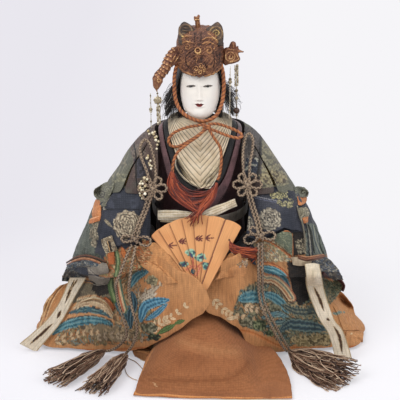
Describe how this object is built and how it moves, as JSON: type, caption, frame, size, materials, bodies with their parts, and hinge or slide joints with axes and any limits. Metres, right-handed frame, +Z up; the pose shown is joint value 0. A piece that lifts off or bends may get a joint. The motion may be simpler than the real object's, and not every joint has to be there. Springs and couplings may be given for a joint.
{
  "type": "seated court doll",
  "caption": "Seated court doll in layered silk robes with a turning crowned head, swinging bead pendants, corded tassels and a folding slat fan in its hands.",
  "frame": {"origin": "centre of the board's underside, on the shelf the doll sits on", "axes": "+Z up, the doll looks along -Y, its own right hand is on -X"},
  "size_m": [0.358, 0.2483, 0.3329],
  "materials": {
    "bare_wood": "planed, unfinished",
    "straw": "bound straw, dry and matt",
    "cotton_wadding": "loose cotton",
    "gofun": "burnished shell-white lacquer over wood",
    "purple_silk": "plain silk, soft sheen",
    "cream_silk": "pleated silk, aged",
    "navy_silk": "plain silk",
    "brown_brocade": "silk brocade, worn",
    "green_brocade": "silk and gilt-paper brocade, worn",
    "navy_brocade": "silk brocade with gilt-thread medallions",
    "orange_brocade": "silk brocade with woven waves and leaves",
    "brown_orange_cloth": "plain weave silk, stiffened",
    "cream_band": "stiffened silk ribbon",
    "black_hair": "dressed silk hair, matt black",
    "aged_gilt": "gilt worn to brown",
    "red_silk": "twisted silk cord and thread",
    "silvered_beads": "silvered glass beads on thread",
    "cypress": "thin planed cypress, painted",
    "brass": "polished, worn",
    "brown_braid": "braided silk cord"
  },
  "bodies": {
    "doll": {"base_board": "bare_wood", "straw_core": "straw", "knee_roll": "cotton_wadding", "arm_left": "straw", "arm_right": "straw", "hand_left": "gofun", "hand_right": "gofun", "kimono_body": "purple_silk", "cream_collar_1": "cream_silk", "cream_collar_2": "cream_silk", "cream_collar_3": "cream_silk", "cream_collar_4": "cream_silk", "navy_collar": "navy_silk", "purple_collar": "purple_silk", "jacket_front_left": "brown_brocade", "jacket_front_right": "brown_brocade", "shoulder_panel_left": "green_brocade", "shoulder_panel_right": "green_brocade", "jacket_back": "brown_brocade", "sleeve_left": "navy_brocade", "sleeve_right": "navy_brocade", "robe_left": "orange_brocade", "robe_right": "orange_brocade", "hakama_panel": "brown_orange_cloth", "train_band_left": "cream_band", "train_band_right": "cream_band", "sash_belt": "cream_band", "sash_ribbon": "cream_band", "fan_slat_7": "cypress", "fan_rivet": "brass", "frog_left": "brown_braid", "frog_right": "brown_braid", "fall_left_outer": "brown_braid", "fall_left_inner": "brown_braid", "fall_right_inner": "brown_braid", "fall_right_outer": "brown_braid", "tassel_left_outer": "brown_braid", "tassel_left_inner": "brown_braid", "tassel_right": "brown_braid"},
    "head": {"head": "gofun", "neck_peg": "bare_wood", "hair": "black_hair", "crown": "aged_gilt", "phoenix_head": "aged_gilt", "phoenix_tail": "aged_gilt", "chin_cord": "red_silk", "cord_bow": "red_silk", "chin_tassel": "red_silk"},
    "slat_1": {"fan_slat_1": "cypress", "fan_tassel": "red_silk"},
    "slat_2": {"fan_slat_2": "cypress"},
    "slat_3": {"fan_slat_3": "cypress"},
    "slat_4": {"fan_slat_4": "cypress"},
    "slat_5": {"fan_slat_5": "cypress"},
    "slat_6": {"fan_slat_6": "cypress"},
    "pendant_left_front": {"pendant_left_front": "silvered_beads"},
    "pendant_left_back": {"pendant_left_back": "silvered_beads"},
    "pendant_right_front": {"pendant_right_front": "silvered_beads"},
    "pendant_right_back": {"pendant_right_back": "silvered_beads"}
  },
  "joints": [
    {"name": "head_turn", "type": "hinge", "parent": "doll", "child": "head", "pos_m": [0, 0, 0.21], "axis": [0, 0, 1], "range_deg": [-12, 12], "deforming": ["cord_bow", "chin_tassel"]},
    {"name": "fan_fold", "type": "hinge", "parent": "doll", "child": "slat_1", "pos_m": [0.002, -0.093, 0.086], "axis": [0, -0.9063, 0.4226], "range_deg": [0, 59.9], "deforming": ["fan_tassel"]},
    {"name": "slat_2_fold", "type": "hinge", "parent": "doll", "child": "slat_2", "pos_m": [0.002, -0.093, 0.086], "axis": [0, -0.9063, 0.4226], "range_deg": [0, 47]},
    {"name": "slat_3_fold", "type": "hinge", "parent": "doll", "child": "slat_3", "pos_m": [0.002, -0.093, 0.086], "axis": [0, -0.9063, 0.4226], "range_deg": [0, 35.5]},
    {"name": "slat_4_fold", "type": "hinge", "parent": "doll", "child": "slat_4", "pos_m": [0.002, -0.093, 0.086], "axis": [0, -0.9063, 0.4226], "range_deg": [0, 26.6]},
    {"name": "slat_5_fold", "type": "hinge", "parent": "doll", "child": "slat_5", "pos_m": [0.002, -0.093, 0.086], "axis": [0, -0.9063, 0.4226], "range_deg": [0, 16.6]},
    {"name": "slat_6_fold", "type": "hinge", "parent": "doll", "child": "slat_6", "pos_m": [0.002, -0.093, 0.086], "axis": [0, -0.9063, 0.4226], "range_deg": [0, 7.1]},
    {"name": "pendant_left_front_swing", "type": "hinge", "parent": "head", "child": "pendant_left_front", "pos_m": [-0.04092, -0.01632, 0.26083], "axis": [1, 0, 0], "range_deg": [-7, 7]},
    {"name": "pendant_left_back_swing", "type": "hinge", "parent": "head", "child": "pendant_left_back", "pos_m": [-0.04466, -0.01326, 0.268], "axis": [1, 0, 0], "range_deg": [-7, 7]},
    {"name": "pendant_right_front_swing", "type": "hinge", "parent": "head", "child": "pendant_right_front", "pos_m": [0.02849, -0.01071, 0.28651], "axis": [1, 0, 0], "range_deg": [-7, 7]},
    {"name": "pendant_right_back_swing", "type": "hinge", "parent": "head", "child": "pendant_right_back", "pos_m": [0.03359, -0.0079, 0.28697], "axis": [1, 0, 0], "range_deg": [-7, 7]}
  ],
  "couplings": [
    {"joint": "slat_2_fold", "follows": "fan_fold", "ratio": 0.78463},
    {"joint": "slat_3_fold", "follows": "fan_fold", "ratio": 0.59264},
    {"joint": "slat_4_fold", "follows": "fan_fold", "ratio": 0.44406},
    {"joint": "slat_5_fold", "follows": "fan_fold", "ratio": 0.27712},
    {"joint": "slat_6_fold", "follows": "fan_fold", "ratio": 0.11852}
  ]
}
